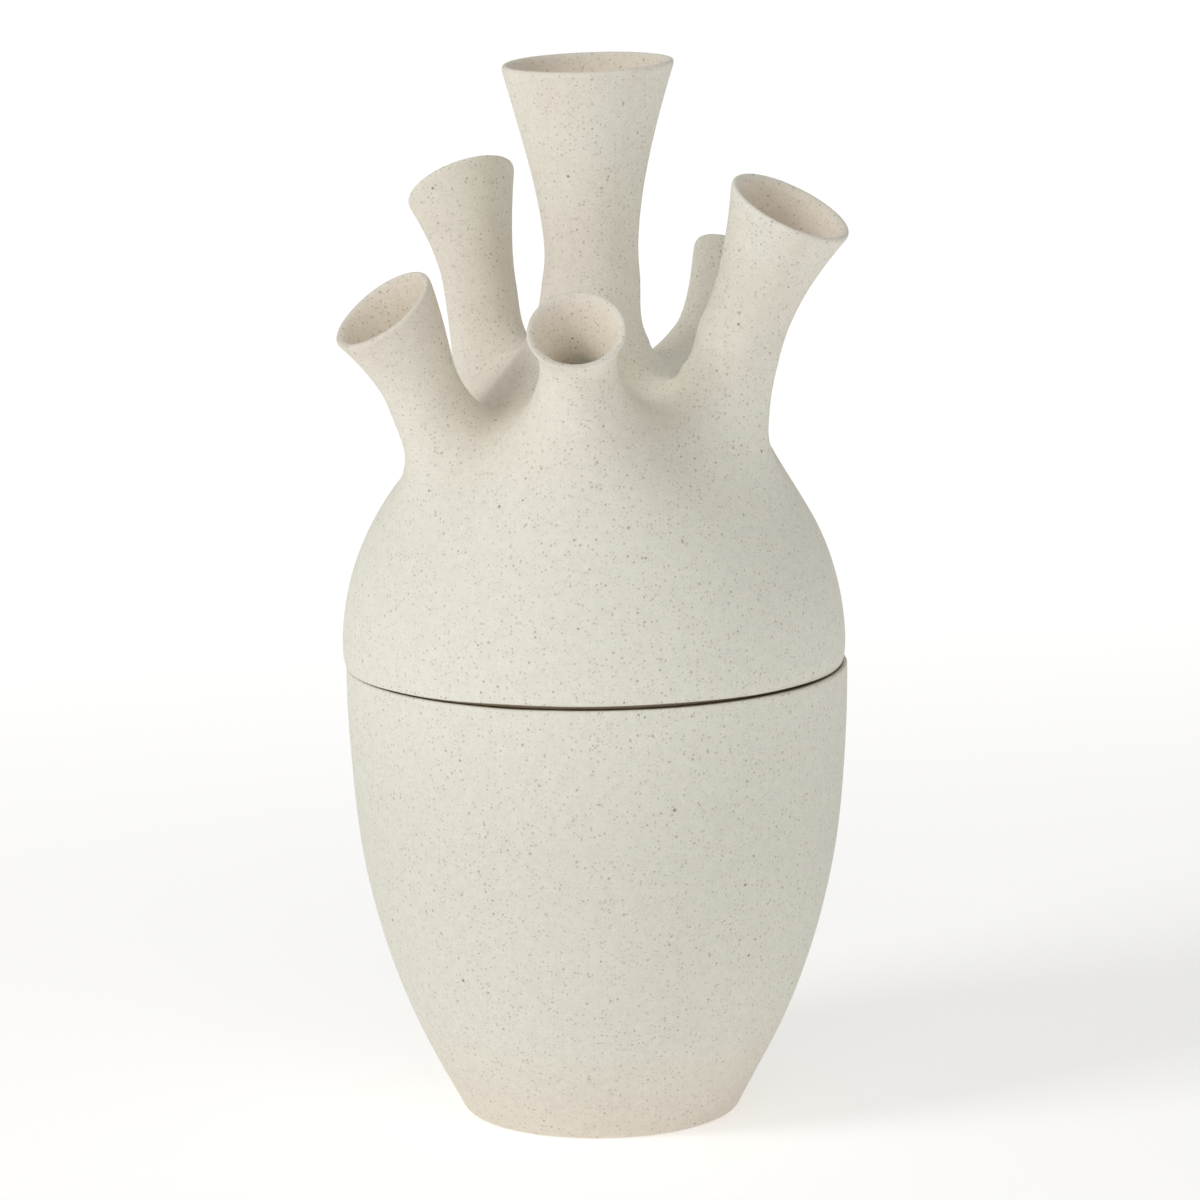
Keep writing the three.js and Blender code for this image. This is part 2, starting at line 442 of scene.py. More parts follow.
class CentreLine:
    def __init__(self, spout):
        root = np.array([spout.root_reach, root_height(spout.root_reach)])
        mouth = np.array([spout.mouth_reach, spout.mouth_height])
        root_way = np.array([sin(radians(spout.root_lean)), cos(radians(spout.root_lean))])
        mouth_way = np.array([sin(radians(spout.mouth_lean)), cos(radians(spout.mouth_lean))])
        self.corners = [
            root,
            root + root_way * spout.root_sweep,
            mouth - mouth_way * spout.mouth_sweep,
            mouth,
        ]
        samples = bezier(self.corners, LINE_SAMPLES)
        strides = np.linalg.norm(np.diff(samples, axis=0), axis=1)
        self.lengths = np.concatenate([[0], np.cumsum(strides)])
        self.length = self.lengths[-1]

    def at(self, share):
        """The spot on the line at a share of its course, and the way the line runs there."""
        rest = 1 - share
        spot, way = [], []
        for a, b, c, d in zip(*self.corners):
            spot.append(a * rest**3 + 3 * b * rest**2 * share + 3 * c * rest * share**2 + d * share**3)
            way.append(3 * ((b - a) * rest**2 + 2 * (c - b) * rest * share + (d - c) * share**2))
        return spot, way

    def walk(self, reach, height):
        """How far along the line each point is, and how far out from it in the line's plane."""
        root, mouth = self.corners[0], self.corners[-1]
        chord = mouth - root
        share = ((reach - root[0]) * chord[0] + (height - root[1]) * chord[1]) / (chord @ chord)
        share = np.clip(share, 0, 1)
        for _ in range(WALKS):
            spot, way = self.at(share)
            ahead = (reach - spot[0]) * way[0] + (height - spot[1]) * way[1]
            share = np.clip(share + ahead / (way[0] ** 2 + way[1] ** 2), 0, 1)
        spot, way = self.at(share)
        pace = np.hypot(way[0], way[1])
        ahead = ((reach - spot[0]) * way[0] + (height - spot[1]) * way[1]) / pace
        across = ((reach - spot[0]) * way[1] - (height - spot[1]) * way[0]) / pace
        along = np.interp(share * LINE_SAMPLES, np.arange(LINE_SAMPLES + 1), self.lengths) + ahead
        return along, across


# %% Distance to one spout, outside or in its bore
SPOUT_WALL = 3.7
LIP_THICKNESS = 2.8
LIP_ROUNDING = 2.4


class SpoutForm:
    def __init__(self, spout):
        self.spout = spout
        self.line = CentreLine(spout)
        azimuth = radians(spout.azimuth)
        self.outward = (cos(azimuth), sin(azimuth))

    def place(self, x, y, z):
        """How far along the spout each point is, how far across it, and how far to its side.

        Up the flare the first is slanted more and more, which gives the rim its own lean.
        """
        spout = self.spout
        reach = x * self.outward[0] + y * self.outward[1]
        side = y * self.outward[0] - x * self.outward[1]
        along, across = self.line.walk(reach, z)
        flare_start = self.line.length - spout.flare_length
        share = np.clip((along - flare_start) / spout.flare_length, 0, 1)
        ease = share * share * (3 - 2 * share)
        lean = np.tan(radians(spout.rim_lean - spout.mouth_lean) * ease)
        twist = np.tan(radians(spout.rim_twist) * ease)
        return along + across * lean + side * twist, across, side

    def flare(self, along, neck, rim):
        """Radius at each place along the spout, and how fast it grows there."""
        spout = self.spout
        straight = min((rim - neck) / tan(radians(spout.lip_angle)), spout.flare_length)
        bend = 2 * (spout.flare_length - straight)
        curl = spout.flare_length - bend
        start = self.line.length - spout.flare_length
        into = np.clip(along - start, 0, spout.flare_length)
        share = 2 * into / (bend + np.sqrt(bend**2 + 4 * curl * into) + TINY)
        radius = neck + (rim - neck) * share**2
        growth = 2 * (rim - neck) * share / (bend + 2 * curl * share + TINY)
        return radius, growth

    def outside(self, along, wide):
        radius, growth = self.flare(along, self.spout.neck_radius, self.spout.rim_radius)
        tube = (wide - radius) / np.hypot(1, growth)
        tube = np.maximum(tube, -along - 2 * self.spout.neck_radius)
        return soft_most(tube, along - self.line.length, LIP_ROUNDING)

    def bore(self, along, wide):
        neck = self.spout.neck_radius - SPOUT_WALL
        radius, growth = self.flare(along, neck, self.spout.rim_radius - LIP_THICKNESS)
        tube = (wide - radius) / np.hypot(1, growth)
        return np.maximum(tube, -along - 2 * self.spout.neck_radius)

    def melt(self, across, wide):
        """The width of the fillet: least on the side that faces away from the vase's axis."""
        facing_out = ((1 + across / np.maximum(wide, TINY)) / 2) ** 2
        return self.spout.melt + (self.spout.outer_melt - self.spout.melt) * facing_out

    def join(self, dome, added, dug, x, y, z):
        """Adds the spout and its root to the added clay, and its bore to what is dug out."""
        reach = x * self.outward[0] + y * self.outward[1]
        side = y * self.outward[0] - x * self.outward[1]
        lean = self.line.corners[-1][0] - self.line.corners[0][0]
        reaches = max(self.spout.melt, self.spout.outer_melt) + self.spout.neck_radius
        near = (np.abs(side) < reaches) & (z > self.line.corners[0][1] - 2 * reaches)
        near &= reach > self.spout.root_reach - reaches
        near &= reach < self.spout.root_reach + lean + reaches
        along, across, side = self.place(x[near], y[near], z[near])
        wide = np.hypot(across, side)
        melt = self.melt(across, wide)
        skin, hollow = dome[near], dome[near] + LID_WALL
        root = skin - soft_least(skin, self.outside(along, wide), melt)
        throat = hollow - soft_least(hollow, self.bore(along, wide), melt)
        added[near] = heap(added[near], root, self.spout.crease)
        dug[near] = heap(dug[near], throat, self.spout.crease)


SPOUT_FORMS = [SpoutForm(spout) for spout in SPOUTS]
for form in SPOUT_FORMS:
    print(f"A spout of {form.line.length:.0f} along its line, {2 * form.spout.rim_radius:.0f} across")

# %% [markdown]
# ## The whole lid as one distance
# The clay is what is inside the outer form and outside the hollow. The seat cuts it off flat, but
# the potter trims its outer edge a little higher, so that a rough spot there can't make the lid
# rock: that leaves the dark line between the pieces, widest at the front. A ring hangs down inside
# the pot's mouth, so that the lid can't slide off.

# %% Distance to the lid's clay
RING_CLEARANCE = 1.5
RING_WALL = 4.0
RING_DEPTH = 12.0
RING_ROUNDING = 1.6
RING_OUTER = MOUTH_RADIUS - RING_CLEARANCE
RING_INNER = RING_OUTER - RING_WALL
EDGE_ROUNDING = 0.6
GAP_HEIGHT = 1.5
GAP_LEAST = 0.35
GAP_START = 77.6
GAP_RISE = 1.0
HOLLOW_BLEND = 6.0
SEAT_FADE = 12.6


def lid_distance(x, y, z):
    out = np.hypot(x, y)
    dome = dome_distance(x, y, z)
    added, dug = np.zeros_like(dome), np.zeros_like(dome)
    for form in SPOUT_FORMS:
        form.join(dome, added, dug, x, y, z)
    hollow = dome + LID_WALL - dug
    trimmed = GAP_LEAST + (GAP_HEIGHT - GAP_LEAST) * np.clip(-y / (out + TINY), 0, 1) ** 2
    gap = trimmed * np.clip((out - GAP_START) / GAP_RISE, 0, 1)
    skin = soft_most(dome - added, gap - z, EDGE_ROUNDING)
    ring = np.maximum(np.abs(out - RING_OUTER + RING_WALL / 2) - RING_WALL / 2, z - LID_WALL)
    ring = soft_most(ring, -z - RING_DEPTH, RING_ROUNDING)
    skin = np.minimum(skin, ring)
    fade = (SHOULDER_RADIUS - LID_WALL - RING_INNER) / SEAT_FADE
    throat = (out - RING_INNER - np.maximum(z, 0) * fade) / sqrt(1 + fade * fade)
    hollow = soft_most(hollow, throat, HOLLOW_BLEND)
    return soft_most(skin, -hollow, LIP_ROUNDING)


print(f"The ring is {2 * RING_OUTER:.1f} across, in a mouth of {2 * MOUTH_RADIUS:.1f}")

# %% [markdown]
# ## A net drawn round the clay
# The distance is worked out on a grid of small cells. Where it changes sign along an edge of the
# grid, the surface crosses that edge: one quad is put there, with a corner in each of the four
# cells that share the edge. A corner lies at the mean of its cell's crossings. That makes a net of
# quads of even size, whatever the shape does. The lips come to a narrow ridge, so the net is first
# drawn round stouter clay. Where two bits of it still touch at a slant only, a little is filled
# in between them, since no net goes round such a place.

# %% A net of quads where a field changes sign
def net_round(field):
    rings, spots = [], []
    for axis in range(3):
        step = [slice(None)] * 3
        step[axis] = slice(0, -1)
        here = field[tuple(step)]
        step[axis] = slice(1, None)
        there = field[tuple(step)]
        at = np.argwhere((here < 0) != (there < 0))
        start, end = here[tuple(at.T)], there[tuple(at.T)]
        spot = at.astype(float)
        spot[:, axis] += start / (start - end)
        ring = []
        for back, down in ((0, 0), (-1, 0), (-1, -1), (0, -1)):
            cell = at.copy()
            cell[:, (axis + 1) % 3] += back
            cell[:, (axis + 2) % 3] += down
            ring.append(np.ravel_multi_index(cell.T, field.shape))
        ring = np.stack(ring, 1)
        ring[start > 0] = ring[start > 0][:, ::-1]
        rings.append(ring)
        spots.append(np.repeat(spot, 4, axis=0))
    cells, corners = np.unique(np.vstack(rings).ravel(), return_inverse=True)
    spots = np.vstack(spots)
    count = np.bincount(corners)
    places = [np.bincount(corners, weights=spots[:, axis]) / count for axis in range(3)]
    return np.stack(places, 1), corners.reshape(-1, 4)


# %% Fill the places where clay touches clay at a slant only
def fill_pinches(field):
    filled = 0
    again = True
    while again:
        again = False
        for axis in range(3):
            squares = np.moveaxis(field, axis, 2)
            inside = squares < 0
            slant = (inside[:-1, :-1] == inside[1:, 1:]) & (inside[1:, :-1] == inside[:-1, 1:])
            slant &= inside[:-1, :-1] != inside[1:, :-1]
            for i, j, k in np.argwhere(slant):
                corners = squares[i : i + 2, j : j + 2, k]
                if (corners >= 0).any():
                    nearest = corners[corners >= 0].min()
                    corners[corners == nearest] = -TINY
                    filled += 1
                    again = True
    return filled


# %% Draw the net round the lid
CELL = 1.8
STOUTER = 0.9
MARGIN = 4.0
grid_low = np.array([-SHOULDER_RADIUS, -SHOULDER_RADIUS, -RING_DEPTH]) - MARGIN
grid_high = np.array([SHOULDER_RADIUS, SHOULDER_RADIUS, VASE_HEIGHT - SEAT_HEIGHT]) + MARGIN
axes = [np.arange(low, high, CELL) for low, high in zip(grid_low, grid_high)]
grid = [part.ravel() for part in np.meshgrid(*axes, indexing="ij")]
field = lid_distance(*grid).reshape([len(axis) for axis in axes]) - STOUTER
print("Pinched places filled:", fill_pinches(field))
places, faces = net_round(field)
places = grid_low + places * CELL
print(f"The grid has {field.size} points, and the net round the clay {len(faces)} quads")

# %% [markdown]
# ## Pulling the net tight
# The net's corners are a little off the real surface. Each is moved along the steepest way to it,
# by as much as the distance says, and between two such moves it is drawn to the middle of its
# neighbours, which evens out the quads.

# %% Pull the net onto the surface
PROBE = 0.05
PROBES = np.array([(1, -1, -1), (-1, -1, 1), (-1, 1, -1), (1, 1, 1)], float)
LEAST_STEEPNESS = 0.2
RELAXINGS = 2
RELAX_STRENGTH = 0.5


def steepest(places):
    total = np.zeros_like(places)
    distance = np.zeros(len(places))
    for probe in PROBES:
        reading = lid_distance(*(places + probe * PROBE).T)
        total += reading[:, None] * probe
        distance += reading / len(PROBES)
    slope = total / (len(PROBES) * PROBE)
    return distance, slope


def pull(places):
    distance, slope = steepest(places)
    steep = np.maximum((slope**2).sum(1), LEAST_STEEPNESS)
    move = np.clip(distance / steep, -CELL, CELL)
    return places - move[:, None] * slope


def relax(places, faces, strength):
    total = np.zeros_like(places)
    count = np.zeros(len(places))
    for near, far in ((0, 1), (1, 2), (2, 3), (3, 0)):
        for one, other in ((near, far), (far, near)):
            np.add.at(total, faces[:, one], places[faces[:, other]])
            np.add.at(count, faces[:, one], 1)
    middle = total / count[:, None]
    return places + strength * (middle - places)


places = pull(places)
for _ in range(RELAXINGS):
    places = pull(relax(places, faces, RELAX_STRENGTH))
off = np.abs(steepest(places)[0])
print(f"The net is within {off.max():.3f} of the surface, and {off.mean():.4f} on average")

# %% [markdown]
# ## Finer at the edges
# The lips are under three millimetres thick and round over, so the net is made twice as fine in a
# band round each lip, and round the seat's edge, before it is pulled tight once more.

# %% Split the quads near the lips and the seat
LIP_BAND = 4.0
SEAT_BAND = 3.0
FINE_PULLS = 2
FAR_AWAY = 1000.0


def lip_depth(places):
    """How deep each place lies under the nearest lip, inside or outside: far away on the dome."""
    depth = np.full(len(places), FAR_AWAY)
    for form in SPOUT_FORMS:
        along, across, side = form.place(*places.T)
        wide = np.hypot(across, side)
        here = (wide < form.spout.rim_radius + LIP_BAND) & (along > form.line.length / 3)
        depth[here] = np.minimum(depth[here], form.line.length - along[here])
    return depth


def bore_depth(places):
    """How deep each place lies in a bore, under its mouth: nothing on the outside."""
    depth = np.zeros(len(places))
    for form in SPOUT_FORMS:
        along, across, side = form.place(*places.T)
        in_bore = np.abs(form.bore(along, np.hypot(across, side))) < SPOUT_WALL / 3
        below = np.where(in_bore, form.line.length - along, 0)
        depth = np.maximum(depth, below)
    return depth


def split_band(piece, chosen):
    mesh = bmesh.new()
    mesh.from_mesh(piece.data)
    mesh.verts.ensure_lookup_table()
    edges = [edge for edge in mesh.edges if all(chosen[vert.index] for vert in edge.verts)]
    bmesh.ops.subdivide_edges(mesh, edges=edges, cuts=1, use_grid_fill=True)
    mesh.to_mesh(piece.data)
    mesh.free()


lid = make_piece("spouted_lid_skin", places, faces.tolist())
near_seat = np.abs(places[:, 2]) < SEAT_BAND
near_seat &= np.hypot(*places.T[:2]) > RING_OUTER - SEAT_BAND
split_band(lid, (lip_depth(places) < LIP_BAND) | near_seat)
places = np.empty(len(lid.data.vertices) * 3)
lid.data.vertices.foreach_get("co", places)
places = places.reshape(-1, 3) / MM
for _ in range(FINE_PULLS):
    places = pull(places)
print("The lid has", len(lid.data.polygons), "faces")

# %% [markdown]
# ## Setting the lid on the pot
# The hand marks go on last, square to the surface. What rests on the seat stays flat. The real lid
# sits almost a millimetre off the middle, which its loose ring lets it do, so it is moved by as
# much here. Each place also learns how deep it lies in a bore, for the painted light and shade there.

# %% Place the lid
LID_OFF_CENTRE = -0.8
SEAT_TOUCH = 0.05

distance, slope = steepest(places)
outward = slope / np.maximum(np.linalg.norm(slope, axis=1), LEAST_STEEPNESS)[:, None]
marked = hand_marks(places + [0, 0, SEAT_HEIGHT], outward)
on_seat = (places[:, 2] < SEAT_TOUCH) & (np.hypot(*places.T[:2]) > RING_OUTER)
marked[on_seat, 2] = np.maximum(marked[on_seat, 2], SEAT_HEIGHT)
print(on_seat.sum(), "places rest on the seat")
marked[:, 0] += LID_OFF_CENTRE
depth = lid.data.attributes.new("bore_depth", "FLOAT", "POINT")
depth.data.foreach_set("value", bore_depth(places) * MM)
lid.data.vertices.foreach_set("co", (marked * MM).ravel())
lid.data.update()
lid.data.shade_smooth()

# %% [markdown]
# ## Speckled stoneware
# The clay is a pale buff body with grains of iron and manganese in it. In the kiln they melt into
# specks, most of them about half a millimetre wide, a few twice that. Its colour also carries
# painted light and shade. The lower belly and the foot are painted darker as shade, where the lit
# table's light would brighten them, and the foot is warmer too. The fire flashed the spouts warmer,
# the left ones most, and they are painted darker as shade as well. The bores are painted lighter and
# warmer, for the light that reaches into them, and darker deep down as painted shade. The seat is
# painted dark as shade in the gap under the lid's edge. It has no glaze outside, so it is quite
# matt, and has the grain of fine sand. All of the pattern comes from three-dimensional noise, so it
# runs through the clay and has no seams.

# %% A small kit for shader nodes
class Nodes:
    def __init__(self, material):
        material.use_nodes = True
        self.tree = material.node_tree
        self.shader = self.tree.nodes["Principled BSDF"]

    def add(self, kind, settings=None, **inputs):
        """Adds a node, changes its settings, and feeds its inputs by their names."""
        node = self.tree.nodes.new(kind)
        for name, value in (settings or {}).items():
            setattr(node, name, value)
        for name, value in inputs.items():
            self.feed(node, name, value)
        return node

    def feed(self, node, name, value):
        """Links an input to another node's socket, or writes a plain value into it."""
        socket = node.inputs[name]
        if isinstance(value, bpy.types.NodeSocket):
            self.tree.links.new(value, socket)
        else:
            socket.default_value = value

    def maths(self, operation, one, other=0.0):
        node = self.add("ShaderNodeMath", {"operation": operation})
        self.feed(node, 0, one)
        self.feed(node, 1, other)
        return node.outputs[0]

    def fade(self, value, low, high, to_low=0.0, to_high=1.0):
        """Eases from one result to another while the value goes from low to high."""
        node = self.add("ShaderNodeMapRange", {"interpolation_type": "SMOOTHSTEP"})
        self.feed(node, "Value", value)
        self.feed(node, "From Min", low)
        self.feed(node, "From Max", high)
        self.feed(node, "To Min", to_low)
        self.feed(node, "To Max", to_high)
        return node.outputs["Result"]

    def mix(self, share, one, other, blend="MIX"):
        # for colours, this node takes its share at socket 0 and the two colours at 6 and 7
        node = self.add("ShaderNodeMix", {"data_type": "RGBA", "blend_type": blend})
        self.feed(node, 0, share)
        self.feed(node, 6, one)
        self.feed(node, 7, other)
        return node.outputs[2]

    def noise(self, where, span, detail=2.0, roughness=0.5):
        """Noise with lumps about a span wide. It crowds round a half, so a fade stretches it."""
        scale = 1 / (span * MM)
        node = self.add("ShaderNodeTexNoise", Scale=scale, Detail=detail, Roughness=roughness)
        self.feed(node, "Vector", where)
        return node.outputs["Fac"]


# %% Specks of one size, scattered through the clay
SPECK_LEAST = 0.55
SPECK_MOST = 1.3
SPECK_SOFTNESS = 0.28


def specks(kit, where, spacing, radius, share):
    """How much of a speck there is at a point, from 0 to 1, and a number drawn for that speck."""
    cells = kit.add("ShaderNodeTexVoronoi", Scale=1 / (spacing * MM))
    kit.feed(cells, "Vector", where)
    lot = kit.add("ShaderNodeSeparateColor")
    kit.feed(lot, "Color", cells.outputs["Color"])
    chosen = kit.maths("LESS_THAN", lot.outputs["Red"], share)
    least, most = SPECK_LEAST * radius / spacing, SPECK_MOST * radius / spacing
    size = kit.fade(lot.outputs["Green"], 0, 1, least, most)
    edge = kit.maths("DIVIDE", cells.outputs["Distance"], size)
    spot = kit.fade(edge, 1 - SPECK_SOFTNESS, 1 + SPECK_SOFTNESS, 1, 0)
    return kit.maths("MULTIPLY", spot, chosen), lot.outputs["Blue"]


# %% The stoneware's colours and sizes
BODY_COLOUR = (0.845, 0.826, 0.74, 1)
# painted shade: the lower belly and the foot are darker, where the lit table's light would brighten
# them; the foot is also warmer
LOWER_BODY_PAINTED_SHADE = (0.775, 0.757, 0.676, 1)
FOOT_WARMTH_AND_PAINTED_SHADE = (0.765, 0.71, 0.62, 1)
# the spouts are warmer from the fire's flash, and darker as painted shade, the left ones most
FLASH_AND_PAINTED_SHADE_BODY = (0.775, 0.708, 0.612, 1)
# painted light: the bores are lighter and warmer, for the light reflected round inside them
BORE_PAINTED_LIGHT = (0.905, 0.833, 0.725, 1)
# painted shade: a dark band at the seat, inside the pot's outer edge, in the gap under the lid
SEAT_PAINTED_SHADE = (0.38, 0.31, 0.23, 1)
SEAT_SHADE_REACH = 2.0
SEAT_SHADE_INSET = 0.9
SEAT_SHADE_EDGE = POT_RADIUS - SEAT_SHADE_INSET
SEAT_SHADE_FADES = 1.0
# painted shade: the clay is darker deep in each bore
THROAT_PAINTED_SHADE = (0.5, 0.36, 0.25, 1)
THROAT_STARTS = 15.0
THROAT_FULL = 37.0
SPECK_GREY = (0.2, 0.185, 0.15, 1)
SPECK_BROWN = (0.26, 0.18, 0.11, 1)
FOOT_WARMTH_FADES = 46.0
BELLY_FADES = 90.0
BELLY_FULL = 165.0
FLASH_STARTS = 195.0
FLASH_FULL = 232.0
FLASH_EDGE = 30.0
FLASH_LEFT = 0.6
FLASH_RIGHT = 0.2
DRIFT_SPAN = 48.0
DRIFT = 0.25
MOTTLE_SPAN = 3.2
MOTTLE_SHADES = (0.965, 1.02)
SAND_SPAN = 0.55
SAND_SHADES = (0.94, 1.05)
# the grains' spacing, a speck's radius, the share of grains that show, and how dark they are
SPECK_SIZES = [
    (0.9, 0.25, 0.5, 0.2),
    (1.4, 0.34, 0.5, 0.3),
    (2.4, 0.36, 0.36, 0.46),
    (7.5, 0.44, 0.27, 0.75),
]
GRAIN_SPAN = 0.7
DRAG_SPAN = 5.5
DRAG_HEIGHT = 1.6
PIT_DEPTH = 0.35
RELIEF_STRENGTH = 0.5
RELIEF_DEPTH = 0.12
SHEEN_SPAN = 1.3
ROUGHNESSES = (0.82, 0.95)
SPECULAR = 0.3


def make_stoneware():
    material = bpy.data.materials.new("speckled_stoneware")
    kit = Nodes(material)
    where = kit.add("ShaderNodeTexCoord").outputs["Object"]
    parts = kit.add("ShaderNodeSeparateXYZ", Vector=where)
    height, across, back = parts.outputs["Z"], parts.outputs["X"], parts.outputs["Y"]
    across_squared = kit.maths("MULTIPLY", across, across)
    back_squared = kit.maths("MULTIPLY", back, back)
    from_axis = kit.maths("SQRT", kit.maths("ADD", across_squared, back_squared))

    drift = kit.fade(kit.noise(where, DRIFT_SPAN), 0.35, 0.65, -DRIFT, DRIFT)
    # painted shade: the body darkens towards the foot, and the foot is warmer in colour as well
    belly = kit.fade(height, BELLY_FADES * MM, BELLY_FULL * MM)
    foot = kit.fade(height, 0, FOOT_WARMTH_FADES * MM, 1, 0)
    body = kit.mix(belly, LOWER_BODY_PAINTED_SHADE, BODY_COLOUR)
    body = kit.mix(foot, body, FOOT_WARMTH_AND_PAINTED_SHADE)
    # the fire's warm flash on the spouts, with painted shade darkening them, more on the left
    high = kit.fade(height, FLASH_STARTS * MM, FLASH_FULL * MM)
    sideways = kit.fade(across, -FLASH_EDGE * MM, FLASH_EDGE * MM, FLASH_LEFT, FLASH_RIGHT)
    flash = kit.maths("MULTIPLY", high, kit.maths("ADD", sideways, drift))
    body = kit.mix(flash, body, FLASH_AND_PAINTED_SHADE_BODY)
    depth = kit.add("ShaderNodeAttribute", {"attribute_name": "bore_depth"}).outputs["Fac"]
    # painted shade: a dark band at the seat's height, inside the pot's outer edge, in the gap under
    # the lid
    from_seat = kit.maths("ABSOLUTE", kit.maths("SUBTRACT", height, SEAT_HEIGHT * MM))
    at_seat = kit.fade(from_seat, 0.5 * SEAT_SHADE_REACH * MM, SEAT_SHADE_REACH * MM, 1, 0)
    within = kit.fade(from_axis, (SEAT_SHADE_EDGE - SEAT_SHADE_FADES) * MM, SEAT_SHADE_EDGE * MM, 1, 0)
    body = kit.mix(kit.maths("MULTIPLY", at_seat, within), body, SEAT_PAINTED_SHADE)
    # painted light: inside the bores the clay is lighter and warmer, for light reflected round in them
    inside = kit.fade(depth, 0, LIP_THICKNESS * MM)
    body = kit.mix(inside, body, BORE_PAINTED_LIGHT)
    # painted shade: darker deep in each bore, where little light reaches
    throat = kit.fade(depth, THROAT_STARTS * MM, THROAT_FULL * MM)
    body = kit.mix(throat, body, THROAT_PAINTED_SHADE)
    mottle = kit.fade(kit.noise(where, MOTTLE_SPAN, 4, 0.6), 0.3, 0.7, *MOTTLE_SHADES)
    sand = kit.fade(kit.noise(where, SAND_SPAN, 3, 0.7), 0.25, 0.75, *SAND_SHADES)
    light = kit.maths("MULTIPLY", mottle, sand)
    shade = kit.add("ShaderNodeCombineColor", Red=light, Green=light, Blue=light)
    colour = kit.mix(1.0, body, shade.outputs["Color"], "MULTIPLY")

    pits = 0.0
    for spacing, radius, share, strength in SPECK_SIZES:
        spot, lot = specks(kit, where, spacing, radius, share)
        iron = kit.mix(lot, SPECK_GREY, SPECK_BROWN)
        colour = kit.mix(kit.maths("MULTIPLY", spot, strength), colour, iron)
        pits = kit.maths("MAXIMUM", pits, spot)

    grain = kit.noise(where, GRAIN_SPAN, 4, 0.65)
    drag = kit.maths("MULTIPLY", kit.noise(where, DRAG_SPAN, 3), DRAG_HEIGHT)
    sunk = kit.maths("MULTIPLY", pits, PIT_DEPTH)
    relief = kit.maths("SUBTRACT", kit.maths("ADD", grain, drag), sunk)
    bump = kit.add("ShaderNodeBump", Strength=RELIEF_STRENGTH, Distance=RELIEF_DEPTH * MM)
    kit.feed(bump, "Height", relief)
    roughness = kit.fade(kit.noise(where, SHEEN_SPAN, 3), 0.3, 0.7, *ROUGHNESSES)
    kit.feed(kit.shader, "Normal", bump.outputs["Normal"])
    kit.feed(kit.shader, "Base Color", colour)
    kit.feed(kit.shader, "Roughness", roughness)
    kit.feed(kit.shader, "Specular IOR Level", SPECULAR)
    print("Stoneware with", len(SPECK_SIZES), "sizes of speck and", len(kit.tree.nodes), "nodes")
    return material


stoneware = make_stoneware()
for piece in (pot, lid):
    piece.data.materials.append(stoneware)

# %% [markdown]
# ## Joining the pieces to the measured model
# Each piece stands for one part of the measured model and moves with its body, so that the lid
# still lifts off the pot.

# %% Ride and replace
for piece, body, node in ((pot, "pot", "water_pot"), (lid, "lid", "spouted_lid")):
    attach(piece, body)
    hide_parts(node)
    print(piece.name, "rides on", body, "and replaces", node)

# %% [markdown]
# ## The studio
# The vase stands on a sheet of white acrylic that is lit a little from below, and more behind the
# vase, which is how a thing is shown on pure white without a hard shadow. The sheet is so wide
# that its edge lies out of sight from the photograph's height. From much lower it shows, with the
# greyer room above it. A softbox stands to the front left, well above the vase: its light fades
# out half way round the right side, and that is what shows the round shape. A second, weaker and
# larger one hangs over the camera and reaches into the spouts. The white room does the rest. These
# sizes are in metres.

# %% The lit table
TABLE_SIZE = 40.0
ACRYLIC_WHITE = (0.93, 0.93, 0.93, 1)
ACRYLIC_ROUGHNESS = 0.85
GLOW_COLOUR = (1, 1, 1, 1)
GLOW_NEAR = 0.36
GLOW_FAR = 0.62
GLOW_STARTS = 0.1
GLOW_FULL = 1.4


def make_table():
    half = TABLE_SIZE / 2
    corners = [(-half, -half, 0), (half, -half, 0), (half, half, 0), (-half, half, 0)]
    mesh = bpy.data.meshes.new("lit_table")
    mesh.from_pydata(corners, [], [(0, 1, 2, 3)])
    table = bpy.data.objects.new("lit_table", mesh)
    bpy.context.scene.collection.objects.link(table)
    acrylic = bpy.data.materials.new("white_acrylic")
    kit = Nodes(acrylic)
    kit.feed(kit.shader, "Base Color", ACRYLIC_WHITE)
    kit.feed(kit.shader, "Roughness", ACRYLIC_ROUGHNESS)
    kit.feed(kit.shader, "Emission Color", GLOW_COLOUR)
    where = kit.add("ShaderNodeTexCoord").outputs["Object"]
    back = kit.add("ShaderNodeSeparateXYZ", Vector=where).outputs["Y"]
    glow = kit.fade(back, GLOW_STARTS, GLOW_FULL, GLOW_NEAR, GLOW_FAR)
    kit.feed(kit.shader, "Emission Strength", glow)
    mesh.materials.append(acrylic)
    print("The table is", TABLE_SIZE, "m wide")


make_table()

# %% The lights
ROOM_STRENGTH = 0.435
ROOM_COLOUR = (1, 0.985, 0.95, 1)
KEY_TURN = radians(-57)
KEY_RISE = radians(35)
KEY_SIZE = 0.9
KEY_POWER = 18.8
FILL_TURN = radians(6)
FILL_RISE = radians(46)
FILL_SIZE = 1.5
FILL_POWER = 5.2
LIGHT_AWAY = 2.6
AIM = Vector((0, 0, 0.17))


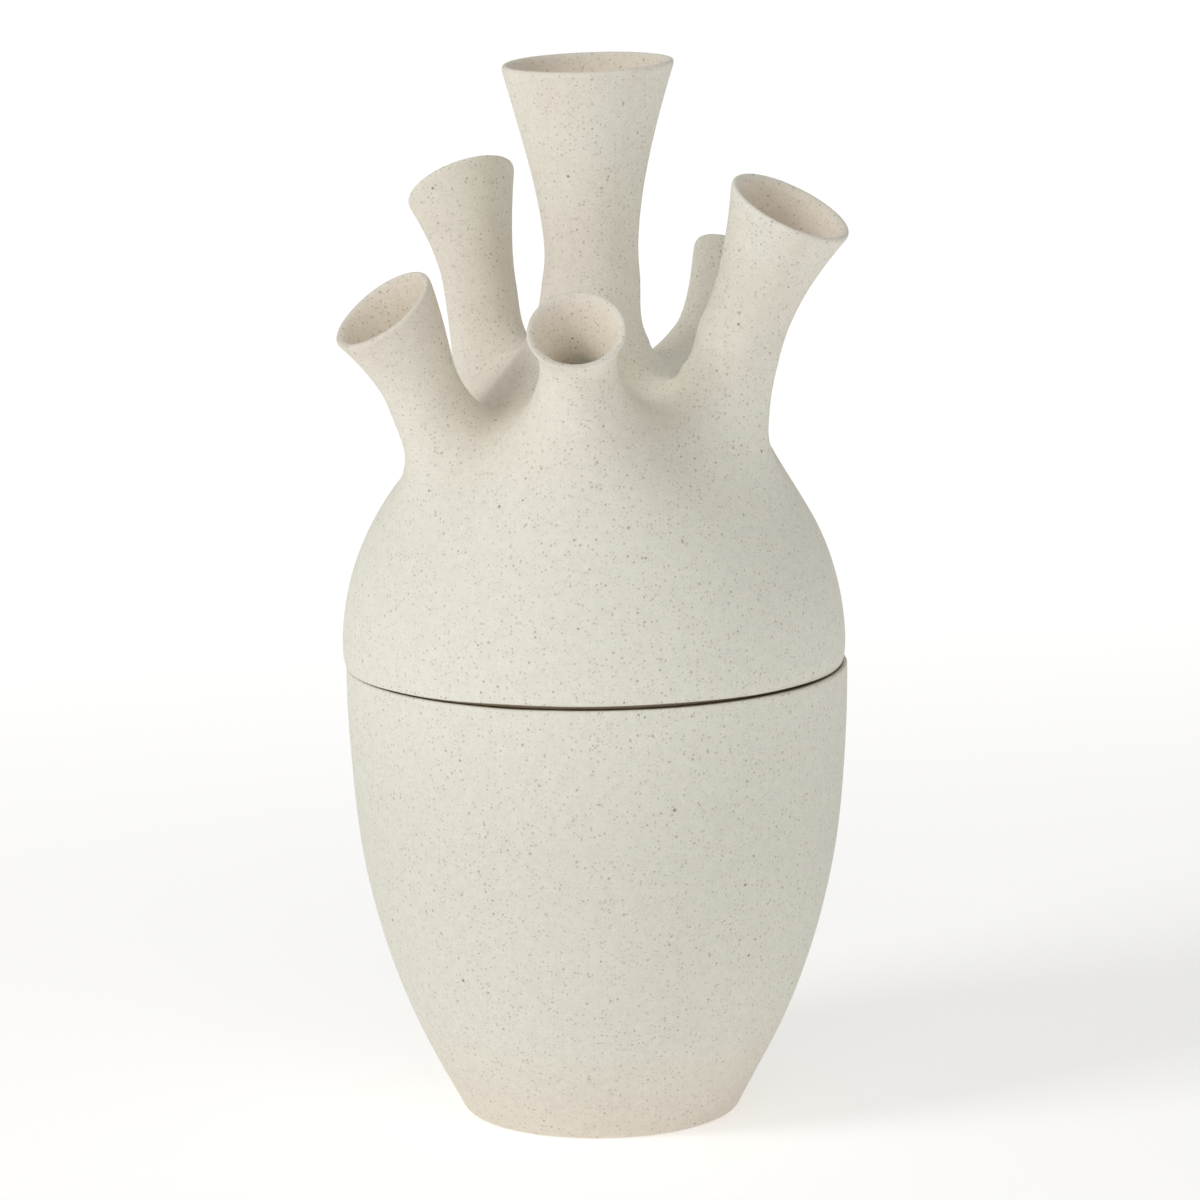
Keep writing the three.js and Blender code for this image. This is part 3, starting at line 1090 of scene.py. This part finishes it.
def make_softbox(name, turned, rise, size, power):
    level = cos(rise) * LIGHT_AWAY
    place = AIM + Vector((sin(turned) * level, -cos(turned) * level, sin(rise) * LIGHT_AWAY))
    light = bpy.data.lights.new(name, "AREA")
    light.energy = power
    light.size = size
    box = bpy.data.objects.new(name, light)
    bpy.context.scene.collection.objects.link(box)
    box.location = place
    box.rotation_euler = (AIM - place).to_track_quat("-Z", "Y").to_euler()
    print(f"{name} stands {place.z:.2f} m up and gives {power} W")


make_softbox("key_softbox", KEY_TURN, KEY_RISE, KEY_SIZE, KEY_POWER)
make_softbox("fill_softbox", FILL_TURN, FILL_RISE, FILL_SIZE, FILL_POWER)

room = bpy.data.worlds.new("white_room")
room.use_nodes = True
backdrop = room.node_tree.nodes["Background"]
backdrop.inputs["Color"].default_value = ROOM_COLOUR
backdrop.inputs["Strength"].default_value = ROOM_STRENGTH
bpy.context.scene.world = room
bpy.context.scene.view_settings.view_transform = "Standard"

# %% [markdown]
# ## The camera
# The photograph was taken with a long lens from about two metres, a little above the vase, and
# looking slightly down. The place, the tilt and the lens were found by matching the seam, the foot
# and the rims. Both tilts are in radians.

# %% Place the camera
EYE = Vector((1.155, -1976.25, 535.17)) * MM
PITCH_DOWN = 0.18437
ROLL = -0.01147
LENS = 188.12
SENSOR = 36.0


def make_camera():
    camera = bpy.data.cameras.new("photograph_camera")
    camera.lens = LENS
    camera.sensor_width = SENSOR
    camera.sensor_fit = "HORIZONTAL"
    holder = bpy.data.objects.new("photograph_camera", camera)
    bpy.context.scene.collection.objects.link(holder)
    ahead = Vector((0, cos(PITCH_DOWN), -sin(PITCH_DOWN)))
    level = Vector((1, 0, 0))
    upright = level.cross(ahead)
    right = level * cos(ROLL) + upright * sin(ROLL)
    up = upright * cos(ROLL) - level * sin(ROLL)
    turn_to = Matrix((right, up, -ahead)).transposed()
    holder.matrix_world = Matrix.Translation(EYE) @ turn_to.to_4x4()
    return holder


bpy.context.scene.camera = make_camera()
print(f"The camera stands {-EYE.y:.2f} m in front of the vase and {EYE.z:.2f} m up")
